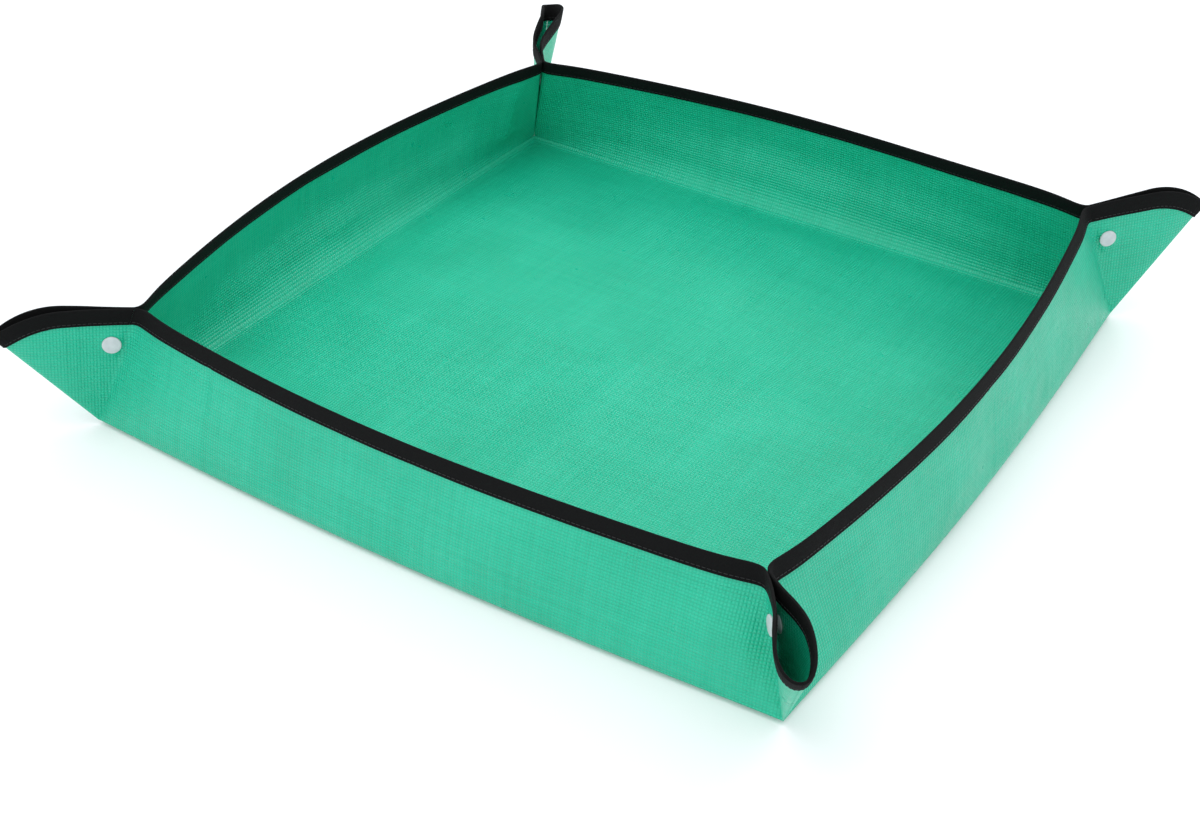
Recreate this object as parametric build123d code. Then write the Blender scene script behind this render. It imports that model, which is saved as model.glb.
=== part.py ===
from build123d import *
import math
import os

# Potting soil tray: one square sheet of coated woven plastic with a taped rim.
# Snaps at the four corners pinch it into a tray. Millimetres, +Z up, origin at
# the middle of the base's underside, front wall towards -Y.

# Sheet
SHEET_SIDE = 680.0
WALL_HEIGHT = 84.0
SHEET_THICKNESS = 0.4
CORNER_RADIUS = 62.0

# Folded form
PINCH_INSET = 23.0
LIP_RADIUS = 9.0
LIP_ANGLE = 50.0
RIM_BOW = {"front": 18.0, "right": 18.0, "back": 33.0, "left": 34.0}
RIM_DIP = 1.5
ARCH_POWER = 1.2
BELLY_POWER = 2.5
FOOT_BULGE = 5.0
FOOT_TURN_POWER = 6
FOOT_FADE_POWER = 1.5
TURN_LENGTH = 8.0
END_BLEND_POWER = 8

# Ears: half width of the opened loop and sideways lean in degrees, and the share
# of the flat angle that the bent half still spans
EAR_OPENING_ANGLE = {"front_right": 6.5, "back_right": 2.2, "back_left": 5.5, "front_left": 2.8}
EAR_LEAN_ANGLE = {"front_right": 5.0, "back_right": 0.0, "back_left": 7.0, "front_left": -3.0}
EAR_SPAN_SHARE = {"front_right": 0.94, "back_right": 0.965, "back_left": 0.955, "front_left": 0.97}
LEAN_START_SHARE = 0.3
LOOP_POWER = 2
APEX_GAP = 7.0

# Edge tape and its seam
TAPE_WIDTH = 11.0
TAPE_THICKNESS = 0.6
TAPE_GAP = 0.15
SEAM_INSET = 2.0
THREAD_WIDTH = 0.5
THREAD_HEIGHT = 0.2
THREAD_GAP = 0.03

# Snaps
SNAP_EDGE_DISTANCE = 25.0
SNAP_PINCH_MARGIN = 1.3
CAP_DIAMETER = 12.4
CAP_RIM_HEIGHT = 0.8
CAP_DOME_HEIGHT = 0.9
SNAP_HALF_GAP = 2.0
DISC_DIAMETER = 10.6
SOCKET_BORE = 4.4
SOCKET_DEPTH = 1.5
STUD_DIAMETER = 4.1
STUD_REACH = 1.1
PRONG_DIAMETER = 2.4
PRONG_CLEARANCE = 0.1
SEAT_GAP = 0.1
SNAP_FLAT_MARGIN = 0.8
SNAP_TAPE_MARGIN = 1.5

# Running clearances between pieces that move apart
LAYER_CLEARANCE = 0.25
HINGE_TRIM = 0.45
POST_TRIM = 0.35
TAPE_POST_TRIM = 0.45

# Shares of a section from its foot up to the tape, and stations along the rim. An
# ear's sections and stations are closest round its snap.
WALL_RISE_SHARES = [0.0, 0.1, 0.22, 0.4, 0.7, 1.0]
RIM_STATION_SHARES = [0.018, 0.042, 0.08, 0.16, 0.36, 0.66, 1.0]
BELOW_SNAP_SHARES = [0.0, 0.5, 0.85, 1.0]
SNAP_RISE_SHARES = [-1.0, -0.5, 0.0, 0.5, 1.0]
BEFORE_SNAP_SHARES = [0.25, 0.6, 1.0]
PAST_SNAP_SHARES = [0.15, 0.33, 0.5, 0.68, 0.825, 0.935, 1.0]
PROBE_SHARE = 1e-4

HALF_BASE = SHEET_SIDE / 2 - WALL_HEIGHT
LIFT = SHEET_THICKNESS / 2 + LIP_RADIUS * (1 - math.cos(math.radians(LIP_ANGLE)))
TAPE_REACH = TAPE_GAP + TAPE_THICKNESS
SNAP_FLAT_RADIUS = CAP_DIAMETER / 2 + SNAP_FLAT_MARGIN
SNAP_FADE_RADIUS = SNAP_EDGE_DISTANCE - TAPE_WIDTH - SNAP_TAPE_MARGIN

# The pinch line of a wall end: its foot is the base corner, its head is on the rim
HEAD_OFFSET = TAPE_REACH
HEAD_ALONG = PINCH_INSET + HEAD_OFFSET / math.sqrt(2)
HEAD_INSET = PINCH_INSET - HEAD_OFFSET / math.sqrt(2)
HEAD_RISE = math.sqrt(WALL_HEIGHT ** 2 - HEAD_INSET ** 2)
PINCH_LENGTH = math.hypot(WALL_HEIGHT, HEAD_ALONG)
PINCH_TILT = math.atan2(-(HEAD_ALONG + HEAD_INSET) / math.sqrt(2), HEAD_RISE)
PINCH_SWING = math.asin(HEAD_OFFSET / PINCH_LENGTH)
FLAT_TILT = math.atan2(HEAD_ALONG, WALL_HEIGHT)
EAR_ANGLE = math.pi / 4 + FLAT_TILT

# The opened loop of an ear is widest where its slope is nil
LOOP_PEAK_BEND = 2 * math.atan(math.sqrt(LOOP_POWER + 1))
LOOP_PEAK = math.sin(LOOP_PEAK_BEND) * math.sin(LOOP_PEAK_BEND / 2) ** LOOP_POWER

UP = Vector(0, 0, 1)
WALLS = {
    "front": (Vector(0, -1, 0), Vector(1, 0, 0)),
    "right": (Vector(1, 0, 0), Vector(0, 1, 0)),
    "back": (Vector(0, 1, 0), Vector(-1, 0, 0)),
    "left": (Vector(-1, 0, 0), Vector(0, -1, 0)),
}
CORNERS = {
    "front_right": (("front", 1), ("right", -1)),
    "back_right": (("right", 1), ("back", -1)),
    "back_left": (("back", 1), ("left", -1)),
    "front_left": (("left", 1), ("front", -1)),
}


def fade(share):
    """Smooth step from 0 to 1."""
    held = min(max(share, 0.0), 1.0)
    return held * held * (3 - 2 * held)


class End:
    """The corner at one end of a wall, seen from that wall."""

    def __init__(self, corner, wall, side):
        outward, along = WALLS[wall]
        self.corner = corner
        self.wall = wall
        self.side = side
        self.apex = outward * HALF_BASE + along * (side * HALF_BASE) + UP * LIFT
        self.radial = (outward + along * side) * (1 / math.sqrt(2))
        self.lateral = (outward - along * side) * (1 / math.sqrt(2))
        self.name = f"{corner}_{wall}"


def wall_end(wall, side):
    """The corner at the end of a wall on the given side."""
    for corner, halves in CORNERS.items():
        if (wall, side) in halves:
            return End(corner, wall, side)


def snap_place():
    """The snap in flat sheet coordinates, from the base corner: beyond it and up."""
    rise = WALL_HEIGHT - SNAP_EDGE_DISTANCE
    from_pinch = CAP_DIAMETER / 2 + SNAP_PINCH_MARGIN
    return from_pinch - HEAD_ALONG * rise / WALL_HEIGHT, rise


def snap_polar():
    """The snap's angle from the pinch line and its distance from the base corner."""
    beyond, rise = snap_place()
    return math.atan2(beyond, rise) + FLAT_TILT, math.hypot(beyond, rise)


def part_at_snap(offset, beyond, rise):
    """Ease a distance from the corner's middle plane to the snap's half gap."""
    snap_beyond, snap_rise = snap_place()
    reach = math.hypot(beyond - snap_beyond, rise - snap_rise)
    keep = fade((reach - SNAP_FLAT_RADIUS) / (SNAP_FADE_RADIUS - SNAP_FLAT_RADIUS))
    return offset * keep + SNAP_HALF_GAP * (1 - keep)


def wall_point(wall, spot, rise_share):
    """Wall surface: spot runs from -1 to 1 along the wall, rise from foot to rim."""
    outward, along = WALLS[wall]
    half_length = HALF_BASE - HEAD_ALONG * rise_share
    arch = (1 - spot * spot) ** ARCH_POWER
    below_rim = max(1 - rise_share, 0)
    bow = RIM_BOW[wall] * (1 - below_rim ** BELLY_POWER)
    foot = FOOT_BULGE * (1 - below_rim ** FOOT_TURN_POWER) * below_rim ** FOOT_FADE_POWER
    turn = TURN_LENGTH * rise_share
    from_end = (1 - abs(spot)) * half_length
    shift = bow * arch + foot * (1 - abs(spot) ** END_BLEND_POWER) - HEAD_INSET * rise_share
    if turn > 0:
        shift -= from_end * math.exp(-from_end / turn)
    point = along * (spot * half_length) + outward * (HALF_BASE + shift)
    point += UP * (LIFT + (HEAD_RISE - RIM_DIP * arch) * rise_share)
    end = wall_end(wall, 1 if spot >= 0 else -1)
    offset = (point - end.apex).dot(end.lateral)
    stand = LAYER_CLEARANCE * abs(spot) ** END_BLEND_POWER
    beyond = abs(spot) * half_length - HALF_BASE
    moved = part_at_snap(offset + stand, beyond, WALL_HEIGHT * rise_share)
    return point + end.lateral * (moved - offset)


def ear_rim(angle):
    """Flat distance from the base corner to the rim, and the slant of the rim there."""
    from_upright = angle - FLAT_TILT
    reach = WALL_HEIGHT / math.cos(from_upright)
    centre = WALL_HEIGHT - CORNER_RADIUS
    if reach * math.sin(from_upright) <= centre:
        return reach, math.cos(from_upright)
    towards = centre * (math.sin(from_upright) + math.cos(from_upright))
    reach = towards + math.sqrt(towards ** 2 - 2 * centre ** 2 + CORNER_RADIUS ** 2)
    across = reach * math.sin(from_upright) - centre
    up = reach * math.cos(from_upright) - centre
    lean = math.atan2(across, up)
    return reach, math.cos(lean - from_upright)


def ear_point(end, angle, reach):
    """Ear surface: angle from the pinch line and distance from the base corner."""
    share = min(max(angle / EAR_ANGLE, 0.0), 1.0)
    bend = math.acos(1 - 2 * share)
    loop = math.sin(bend) * math.sin(bend / 2) ** LOOP_POWER / LOOP_PEAK
    swing = PINCH_SWING * (1 - bend / math.pi) + math.radians(EAR_OPENING_ANGLE[end.corner]) * loop
    lean = math.radians(EAR_LEAN_ANGLE[end.corner]) * end.side
    lean *= fade((share - LEAN_START_SHARE) / (1 - LEAN_START_SHARE))
    tilt = PINCH_TILT + angle * (1 - (1 - EAR_SPAN_SHARE[end.corner]) * share)
    in_plane = (end.radial * math.sin(tilt) + UP * math.cos(tilt)) * (reach * math.cos(swing))
    offset = reach * (math.sin(swing) + math.sin(lean)) + LAYER_CLEARANCE
    from_upright = angle - FLAT_TILT
    offset = part_at_snap(offset, reach * math.sin(from_upright), reach * math.cos(from_upright))
    return end.apex + in_plane + end.lateral * offset


def outward_normal(surface, first, second, sign):
    """Unit normal of a surface of two parameters, by small differences."""
    here = surface(first, second)
    step_first = -PROBE_SHARE if first > 0 else PROBE_SHARE
    step_second = -PROBE_SHARE if second > 0 else PROBE_SHARE
    run = (surface(first + step_first, second) - here) * (1 / step_first)
    climb = (surface(first, second + step_second) - here) * (1 / step_second)
    return run.cross(climb).normalized() * sign


def wall_section(wall, spot):
    """Surface points and normals of a wall, foot to rim, as functions of the share."""
    def surface(across, rise_share):
        return wall_point(wall, across, rise_share)

    def at(rise, offset):
        rise_share = rise / WALL_HEIGHT
        normal = outward_normal(surface, spot, rise_share, 1)
        inner = -SHEET_THICKNESS / 2 * (1 - abs(spot) ** END_BLEND_POWER)
        return surface(spot, rise_share) + normal * (inner + offset)

    return at


def ear_section(end, angle):
    """Surface points and normals of an ear half along one line from the base corner."""
    def surface(turned, reach_share):
        return ear_point(end, turned, reach_share * WALL_HEIGHT)

    def at(reach, offset):
        normal = outward_normal(surface, angle, reach / WALL_HEIGHT, end.side)
        return surface(angle, reach / WALL_HEIGHT) + normal * offset

    return at


def levelled(points):
    """Section points moved onto one plane, so that the section can close a solid."""
    start = points[0]
    far = max(points, key=lambda point: (point - start).length)
    facing = (far - start).cross(points[-1] - start).normalized()
    return [point - facing * (point - start).dot(facing) for point in points]


def strip_points(at, start, tape_foot, rim, rise_shares):
    """Outline of the sheet along a section, from its start to the rim."""
    stops = [start + share * (tape_foot - start) for share in rise_shares] + [rim]
    inner = [at(stop, 0) for stop in stops]
    return inner + [at(stop, SHEET_THICKNESS) for stop in reversed(stops)]


def tape_points(at, low_edge, rim, slant):
    """Outline of the tape folded round the rim: both arms and the fold over the edge."""
    inner = -TAPE_GAP
    outer = SHEET_THICKNESS + TAPE_GAP
    crown = rim + TAPE_GAP / slant
    top = rim + TAPE_REACH / slant
    return [
        at(low_edge, outer + TAPE_THICKNESS),
        at(top, outer + TAPE_THICKNESS),
        at(top, inner - TAPE_THICKNESS),
        at(low_edge, inner - TAPE_THICKNESS),
        at(low_edge, inner),
        at(crown, inner),
        at(crown, outer),
        at(low_edge, outer),
    ]


def thread_points(at, low_edge, rim, slant):
    """Outline of the seam's thread, lying on the outer arm of the tape."""
    near = SHEET_THICKNESS + TAPE_REACH + THREAD_GAP
    far = near + THREAD_HEIGHT
    arm = rim + TAPE_REACH / slant - low_edge
    first_share = SEAM_INSET / slant / arm
    last_share = (SEAM_INSET + THREAD_WIDTH) / slant / arm

    def on_arm(share, offset):
        return at(low_edge, offset) * (1 - share) + at(low_edge + arm, offset) * share

    return [on_arm(first_share, near), on_arm(last_share, near),
            on_arm(last_share, far), on_arm(first_share, far)]


def strip_wire(points):
    """The sheet's outline: curved up to the tape, straight under it."""
    middle = len(points) // 2
    inner, outer = points[:middle], points[middle:]
    return Wire([
        Edge.make_spline(inner[:-1]),
        Edge.make_line(inner[-2], inner[-1]),
        Edge.make_line(inner[-1], outer[0]),
        Edge.make_line(outer[0], outer[1]),
        Edge.make_spline(outer[1:]),
        Edge.make_line(outer[-1], inner[0]),
    ])


def polygon_wire(points):
    return Wire.make_polygon(points, close=True)


def loft_through(sections, make_wire):
    """Solid through sections, whose first and last are made plane."""
    sections[0] = levelled(sections[0])
    sections[-1] = levelled(sections[-1])
    return Solid.make_loft([make_wire(points) for points in sections], ruled=True)


def wall_spots(trim):
    """Stations along a wall, closer together near its ends."""
    half_length = HALF_BASE - HEAD_ALONG
    near = [1 - trim / half_length] + [1 - share for share in RIM_STATION_SHARES]
    return [-spot for spot in near] + [spot for spot in reversed(near[:-1])]


def sheet_wall(wall):
    sections = []
    for spot in wall_spots(POST_TRIM):
        at = wall_section(wall, spot)
        tape_foot = WALL_HEIGHT - TAPE_WIDTH
        sections.append(strip_points(at, HINGE_TRIM, tape_foot, WALL_HEIGHT, WALL_RISE_SHARES))
    return loft_through(sections, strip_wire)


def tape_wall(wall):
    sections = []
    for spot in wall_spots(TAPE_POST_TRIM):
        at = wall_section(wall, spot)
        sections.append(tape_points(at, WALL_HEIGHT - TAPE_WIDTH, WALL_HEIGHT, 1))
    return loft_through(sections, polygon_wire)


def seam_wall(wall):
    sections = []
    for spot in wall_spots(TAPE_POST_TRIM):
        at = wall_section(wall, spot)
        sections.append(thread_points(at, WALL_HEIGHT - TAPE_WIDTH, WALL_HEIGHT, 1))
    return loft_through(sections, polygon_wire)


def ear_angles(trim):
    """Stations of an ear half from the pinch line to the tip."""
    snap_angle, snap_reach = snap_polar()
    flat = math.asin(SNAP_FLAT_RADIUS / snap_reach)
    faded = math.asin(SNAP_FADE_RADIUS / snap_reach)
    past = snap_angle + faded
    stations = [trim / WALL_HEIGHT] + [share * snap_angle for share in BEFORE_SNAP_SHARES]
    stations += [snap_angle + flat / 2, snap_angle + flat, snap_angle + (flat + faded) / 2, past]
    return stations + [past + share * (EAR_ANGLE - past) for share in PAST_SNAP_SHARES]


def ear_rise_shares():
    """Shares of an ear's section from its start up to the tape."""
    snap_angle, snap_reach = snap_polar()
    rim, slant = ear_rim(snap_angle)
    height = rim - TAPE_WIDTH / slant - APEX_GAP
    below = (snap_reach - SNAP_FADE_RADIUS - APEX_GAP) / height
    at_snap = (snap_reach - APEX_GAP) / height
    flat = SNAP_FLAT_RADIUS / height
    shares = [share * below for share in BELOW_SNAP_SHARES]
    shares += [at_snap + share * flat for share in SNAP_RISE_SHARES]
    return shares + [(shares[-1] + 1) / 2, 1.0]


def sheet_ear(end):
    sections = []
    for angle in ear_angles(POST_TRIM):
        at = ear_section(end, angle)
        rim, slant = ear_rim(angle)
        tape_foot = rim - TAPE_WIDTH / slant
        sections.append(strip_points(at, APEX_GAP, tape_foot, rim, ear_rise_shares()))
    hole = snap_cylinder(end, PRONG_DIAMETER / 2 + PRONG_CLEARANCE, 0, 2 * SNAP_HALF_GAP)
    return loft_through(sections, strip_wire) - hole


def tape_ear(end):
    sections = []
    for angle in ear_angles(TAPE_POST_TRIM):
        at = ear_section(end, angle)
        rim, slant = ear_rim(angle)
        sections.append(tape_points(at, rim - TAPE_WIDTH / slant, rim, slant))
    return loft_through(sections, polygon_wire)


def seam_ear(end):
    sections = []
    for angle in ear_angles(TAPE_POST_TRIM):
        at = ear_section(end, angle)
        rim, slant = ear_rim(angle)
        sections.append(thread_points(at, rim - TAPE_WIDTH / slant, rim, slant))
    return loft_through(sections, polygon_wire)


def snap_frame(end, offset):
    """Plane of the snap at a distance from the corner's middle plane."""
    angle, reach = snap_polar()
    tilt_share = 1 - (1 - EAR_SPAN_SHARE[end.corner]) * angle / EAR_ANGLE
    tilt = PINCH_TILT + angle * tilt_share
    centre = end.apex + (end.radial * math.sin(tilt) + UP * math.cos(tilt)) * reach
    return Plane(centre + end.lateral * offset, x_dir=UP, z_dir=end.lateral)


def snap_cylinder(end, radius, start, finish):
    disc = Solid.make_cylinder(radius, finish - start)
    return snap_frame(end, start) * disc


def snap_cap(end):
    """Domed cap on the outside, with the prong that passes through the sheet."""
    seat = SNAP_HALF_GAP + SHEET_THICKNESS + SEAT_GAP
    radius = CAP_DIAMETER / 2
    plate = snap_cylinder(end, radius, seat, seat + CAP_RIM_HEIGHT)
    sphere = (radius ** 2 + CAP_DOME_HEIGHT ** 2) / (2 * CAP_DOME_HEIGHT)
    ball = snap_frame(end, seat + CAP_RIM_HEIGHT + CAP_DOME_HEIGHT - sphere) * Solid.make_sphere(
        sphere, angle1=-90, angle2=90, angle3=360)
    dome = ball & snap_cylinder(end, radius, seat + CAP_RIM_HEIGHT,
                                seat + CAP_RIM_HEIGHT + CAP_DOME_HEIGHT)
    prong = snap_cylinder(end, PRONG_DIAMETER / 2, SNAP_HALF_GAP - SEAT_GAP, seat)
    return plate + dome + prong


def snap_socket(end):
    """Socket disc on the contact side, open towards the stud."""
    top = SNAP_HALF_GAP - 2 * SEAT_GAP
    disc = snap_cylinder(end, DISC_DIAMETER / 2, LAYER_CLEARANCE, top)
    return disc - snap_cylinder(end, SOCKET_BORE / 2, 0, SOCKET_DEPTH)


def snap_stud(end):
    """Stud disc on the contact side, its post reaching into the socket."""
    top = SNAP_HALF_GAP - 2 * SEAT_GAP
    disc = snap_cylinder(end, DISC_DIAMETER / 2, LAYER_CLEARANCE, top)
    return disc + snap_cylinder(end, STUD_DIAMETER / 2, -STUD_REACH, LAYER_CLEARANCE)


def sheet_base():
    """Flat base with a lip that starts the turn up into the four walls."""
    turn = math.radians(LIP_ANGLE)
    centre_height = SHEET_THICKNESS / 2 + LIP_RADIUS
    flat_half = HALF_BASE - LIP_RADIUS * math.sin(turn)
    last = turn - HINGE_TRIM / LIP_RADIUS

    def lip(radius, angle):
        return Vector(flat_half + radius * math.sin(angle), 0, centre_height - radius * math.cos(angle))

    low = LIP_RADIUS + SHEET_THICKNESS / 2
    high = LIP_RADIUS - SHEET_THICKNESS / 2
    outline = Wire([
        Edge.make_three_point_arc(lip(low, 0), lip(low, last / 2), lip(low, last)),
        Edge.make_line(lip(low, last), lip(high, last)),
        Edge.make_three_point_arc(lip(high, last), lip(high, last / 2), lip(high, 0)),
        Edge.make_line(lip(high, 0), lip(low, 0)),
    ])
    bar = Pos(0, HALF_BASE, 0) * extrude(Face(outline), amount=2 * HALF_BASE, dir=(0, -1, 0))
    quarter = Wire.make_polygon([(0, 0), (HALF_BASE, -HALF_BASE), (HALF_BASE, HALF_BASE)], close=True)
    mitred = bar & extrude(Face(quarter), amount=2 * LIP_RADIUS)
    pan = Solid.make_box(2 * flat_half, 2 * flat_half, SHEET_THICKNESS,
                         Plane(Vector(-flat_half, -flat_half, 0)))
    for step in range(len(WALLS)):
        pan += Rot(0, 0, step * 360 / len(WALLS)) * mitred
    return pan


def build_nodes():
    nodes = {"sheet_base": sheet_base()}
    for wall in WALLS:
        nodes[f"sheet_wall_{wall}"] = sheet_wall(wall)
        nodes[f"tape_wall_{wall}"] = tape_wall(wall)
        nodes[f"seam_wall_{wall}"] = seam_wall(wall)
    for corner, halves in CORNERS.items():
        for wall, side in halves:
            end = End(corner, wall, side)
            nodes[f"sheet_ear_{end.name}"] = sheet_ear(end)
            nodes[f"tape_ear_{end.name}"] = tape_ear(end)
            nodes[f"seam_ear_{end.name}"] = seam_ear(end)
            nodes[f"snap_cap_{end.name}"] = snap_cap(end)
        socket_wall, socket_side = halves[0]
        stud_wall, stud_side = halves[1]
        nodes[f"snap_socket_{corner}"] = snap_socket(End(corner, socket_wall, socket_side))
        nodes[f"snap_stud_{corner}"] = snap_stud(End(corner, stud_wall, stud_side))
    return nodes


os.makedirs("parts", exist_ok=True)
for name, shape in build_nodes().items():
    export_step(shape, f"parts/{name}.step")
print("pinch line", round(PINCH_LENGTH, 3), "lift", round(LIFT, 3), "ear angle", round(math.degrees(EAR_ANGLE), 3))
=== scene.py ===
import math

import bpy
import numpy as np
from mathutils import Matrix, Vector


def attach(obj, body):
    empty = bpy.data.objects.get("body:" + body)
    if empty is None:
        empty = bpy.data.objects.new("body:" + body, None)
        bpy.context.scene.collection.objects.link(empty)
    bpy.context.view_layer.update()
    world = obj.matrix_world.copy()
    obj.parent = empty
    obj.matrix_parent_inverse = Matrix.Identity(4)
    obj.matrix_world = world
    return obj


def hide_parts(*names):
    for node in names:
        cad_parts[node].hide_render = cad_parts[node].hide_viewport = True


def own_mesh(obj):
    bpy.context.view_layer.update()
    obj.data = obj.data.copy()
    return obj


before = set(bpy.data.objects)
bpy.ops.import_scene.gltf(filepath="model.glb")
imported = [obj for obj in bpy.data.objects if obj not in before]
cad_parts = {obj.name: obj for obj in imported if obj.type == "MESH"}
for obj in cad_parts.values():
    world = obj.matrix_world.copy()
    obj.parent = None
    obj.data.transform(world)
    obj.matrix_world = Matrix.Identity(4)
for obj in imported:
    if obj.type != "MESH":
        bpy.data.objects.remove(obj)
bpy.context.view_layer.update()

# Metres and radians, apart from the ears' opening and lean and the camera's angles, in degrees.
# The sheet and its folded form have the sizes of the part's source. What one corner or one
# wall's foot has of its own, as the photograph shows it, is added here.
SHEET_SIDE = 0.680
WALL_HEIGHT = 0.084
SHEET_THICKNESS = 0.0004
CORNER_RADIUS = 0.062
PINCH_INSET = 0.023
LIP_RADIUS = 0.009
LIP_ANGLE = math.radians(50)
# How far each rim bows outward and dips, and how a wall bellies and turns at its foot and ends
RIM_BOW = {"front": 0.018, "right": 0.018, "back": 0.033, "left": 0.034}
RIM_DIP = 0.0015
ARCH_POWER = 1.2
BELLY_POWER = 2.5
FOOT_BULGE = 0.005
FOOT_TURN_POWER = 6
FOOT_FADE_POWER = 1.5
TURN_LENGTH = 0.008
END_BLEND_POWER = 8
# How far the loop of each ear opens, leans to one side, and reaches round from the pinch line
EAR_OPENING_ANGLE = {"front_right": 6.5, "back_right": 2.2, "back_left": 5.0, "front_left": 2.8}
EAR_LEAN_ANGLE = {"front_right": 5.0, "back_right": 0.0, "back_left": 14.0, "front_left": -3.0}
EAR_SPAN_SHARE = {"front_right": 0.955, "back_right": 0.975, "back_left": 0.95, "front_left": 0.975}
# How far each ear's tip is raised, and between which shares of the ear its lean comes in
EAR_RAISE = {"front_right": 0.006, "back_right": 0.001, "back_left": 0.015, "front_left": 0.0}
LEAN_START_SHARE = {"front_right": 0.3, "back_right": 0.3, "back_left": 0.2, "front_left": 0.3}
LEAN_END_SHARE = {"front_right": 1.0, "back_right": 1.0, "back_left": 0.8, "front_left": 1.0}
LOOP_POWER = 2
APEX_GAP = 0.0003
# How far each pinched corner stands above and beside its plain place, and how far off that fades
CORNER_LIFT = {"front_right": -0.002, "back_right": 0.011, "back_left": 0.002, "front_left": 0.001}
CORNER_SHIFT = {"front_right": 0.005, "back_right": 0.0, "back_left": 0.001, "front_left": 0.0}
CORNER_SPREAD = 0.12
# How far each wall's foot bows outward, and how the bow fades up the wall and over the base
FOOT_BOW = {"front": 0.009, "right": 0.008, "back": 0.0, "left": 0.003}
FOOT_BOW_POWER = 3
FOOT_BOW_REACH = 0.06
# The tape, the snaps and the room between layers
TAPE_WIDTH = 0.011
TAPE_THICKNESS = 0.0006
TAPE_GAP = 0.00015
SNAP_EDGE_DISTANCE = 0.025
SNAP_PINCH_MARGIN = 0.0013
CAP_DIAMETER = 0.0124
SNAP_HALF_GAP = 0.002
SNAP_FLAT_MARGIN = 0.0008
SNAP_TAPE_MARGIN = 0.0015
SNAP_EASE = 0.004
LAYER_CLEARANCE = 0.00005
TINY = 1e-6

# Worked out: a wall's head where it is pinched, the pinch line, and an ear half's angles
HALF_BASE = SHEET_SIDE / 2 - WALL_HEIGHT
LIFT = SHEET_THICKNESS / 2 + LIP_RADIUS * (1 - math.cos(LIP_ANGLE))
HEAD_OFFSET = TAPE_GAP + TAPE_THICKNESS
HEAD_ALONG = PINCH_INSET + HEAD_OFFSET / math.sqrt(2)
HEAD_INSET = PINCH_INSET - HEAD_OFFSET / math.sqrt(2)
HEAD_RISE = math.sqrt(WALL_HEIGHT ** 2 - HEAD_INSET ** 2)
PINCH_LENGTH = math.hypot(WALL_HEIGHT, HEAD_ALONG)
PINCH_TILT = math.atan2(-(HEAD_ALONG + HEAD_INSET) / math.sqrt(2), HEAD_RISE)
PINCH_SWING = math.asin(HEAD_OFFSET / PINCH_LENGTH)
FLAT_TILT = math.atan2(HEAD_ALONG, WALL_HEIGHT)
EAR_ANGLE = math.pi / 4 + FLAT_TILT
LOOP_PEAK_BEND = 2 * math.atan(math.sqrt(LOOP_POWER + 1))
LOOP_PEAK = math.sin(LOOP_PEAK_BEND) * math.sin(LOOP_PEAK_BEND / 2) ** LOOP_POWER

# The camera, from the photograph: focal length in its pixels, place and view angles
PHOTO_WIDTH = 1200
FOCAL_PIXELS = 1866.6
CAMERA_PLACE = (0.5593, -0.9401, 0.7162)
CAMERA_AZIMUTH = 31.84
CAMERA_ELEVATION = 34.72
CAMERA_ROLL = 1.27
SENSOR_WIDTH = 36.0

# Each wall's outward and along directions, and the two walls' ends that meet at each corner
UP = np.array((0.0, 0.0, 1.0))
WALLS = {
    "front": (np.array((0.0, -1.0, 0.0)), np.array((1.0, 0.0, 0.0))),
    "right": (np.array((1.0, 0.0, 0.0)), np.array((0.0, 1.0, 0.0))),
    "back": (np.array((0.0, 1.0, 0.0)), np.array((-1.0, 0.0, 0.0))),
    "left": (np.array((-1.0, 0.0, 0.0)), np.array((0.0, -1.0, 0.0))),
}
CORNERS = {
    "front_right": (("front", 1), ("right", -1)),
    "back_right": (("right", 1), ("back", -1)),
    "back_left": (("back", 1), ("left", -1)),
    "front_left": (("left", 1), ("front", -1)),
}


# The folded sheet's surfaces

def fade(share):
    """Smooth step from 0 to 1."""
    held = np.clip(share, 0, 1)
    return held * held * (3 - 2 * held)


class End:
    """The corner at one end of a wall, seen from that wall."""

    def __init__(self, corner, wall, side):
        outward, along = WALLS[wall]
        self.corner = corner
        self.wall = wall
        self.side = side
        self.outward = outward
        self.along = along
        self.apex = outward * HALF_BASE + along * (side * HALF_BASE) + UP * LIFT
        self.radial = (outward + along * side) / math.sqrt(2)
        self.lateral = (outward - along * side) / math.sqrt(2)
        self.name = f"{corner}_{wall}"


ENDS = [End(corner, wall, side) for corner, halves in CORNERS.items() for wall, side in halves]


def snap_place():
    """The snap in flat sheet coordinates, from the base corner: beyond it and up."""
    rise = WALL_HEIGHT - SNAP_EDGE_DISTANCE
    from_pinch = CAP_DIAMETER / 2 + SNAP_PINCH_MARGIN
    return from_pinch - HEAD_ALONG * rise / WALL_HEIGHT, rise


def part_at_snap(offset, beyond, rise, from_pinch):
    """Ease a distance from the corner's middle plane to the snap's half gap."""
    snap_beyond, snap_rise = snap_place()
    reach = np.hypot(beyond - snap_beyond, rise - snap_rise)
    flat_radius = CAP_DIAMETER / 2 + SNAP_FLAT_MARGIN
    fade_radius = SNAP_EDGE_DISTANCE - TAPE_WIDTH - SNAP_TAPE_MARGIN
    part = 1 - fade((reach - flat_radius) / (fade_radius - flat_radius))
    part = part * fade(from_pinch / SNAP_EASE)
    return offset * (1 - part) + SNAP_HALF_GAP * part


def settle(point):
    """Where a point goes when each corner takes its own height and sideways place."""
    moved = point
    for end in ENDS:
        if end.side < 0:
            continue
        off = point - end.apex
        inside = np.minimum((off * end.radial).sum(-1), 0)
        across = (off * end.lateral).sum(-1)
        near = np.exp(-(inside ** 2 + across ** 2) / CORNER_SPREAD ** 2)
        share = (near * np.clip(off[..., 2] / HEAD_RISE, 0, None))[..., None]
        place = CORNER_LIFT[end.corner] * UP + CORNER_SHIFT[end.corner] * end.lateral
        moved = moved + share * place
    return moved


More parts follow.
